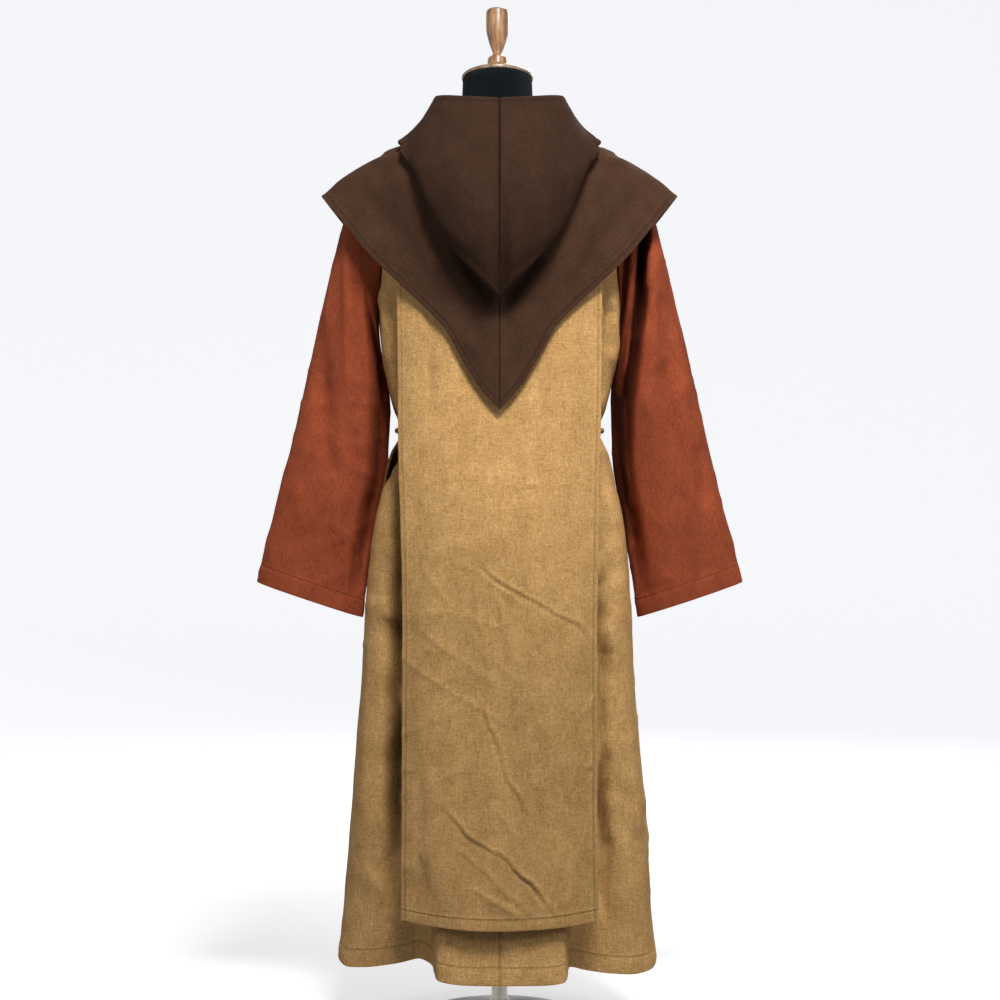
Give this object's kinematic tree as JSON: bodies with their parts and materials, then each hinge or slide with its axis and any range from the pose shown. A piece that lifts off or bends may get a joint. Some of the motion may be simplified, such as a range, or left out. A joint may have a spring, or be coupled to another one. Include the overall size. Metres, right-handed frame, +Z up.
{
  "type": "monk habit on a dress form",
  "caption": "Hooded wool monk habit: flared tunic with wide sleeves, scapular panels, cord belt and pointed shoulder cape with dropped hood, worn by a limbless dress form on a pole stand",
  "frame": {"origin": "centre of the underside of the stand's round base, on the floor", "axes": "+Z up, +Y towards the front of the habit, +X towards the wearer's right"},
  "size_m": [0.798, 0.418, 1.6792],
  "materials": {
    "tan_wool": "matte",
    "rust_wool": "matte",
    "brown_wool": "matte",
    "cord": "matte",
    "jersey": "matte",
    "wood": "satin",
    "steel": "satin",
    "base": "satin"
  },
  "bodies": {
    "root": {"stand_base": "base", "stand_pole": "steel", "dress_form": "jersey", "neck_cap": "wood", "finial": "wood", "tunic_back_left": "tan_wool", "tunic_back_right": "tan_wool", "tunic_front": "tan_wool", "sleeve_left": "rust_wool", "sleeve_right": "rust_wool", "belt": "cord", "scapular_back": "tan_wool", "scapular_front": "tan_wool", "cape_left": "brown_wool", "cape_right": "brown_wool", "hood_left": "brown_wool", "hood_right": "brown_wool"}
  },
  "joints": []
}
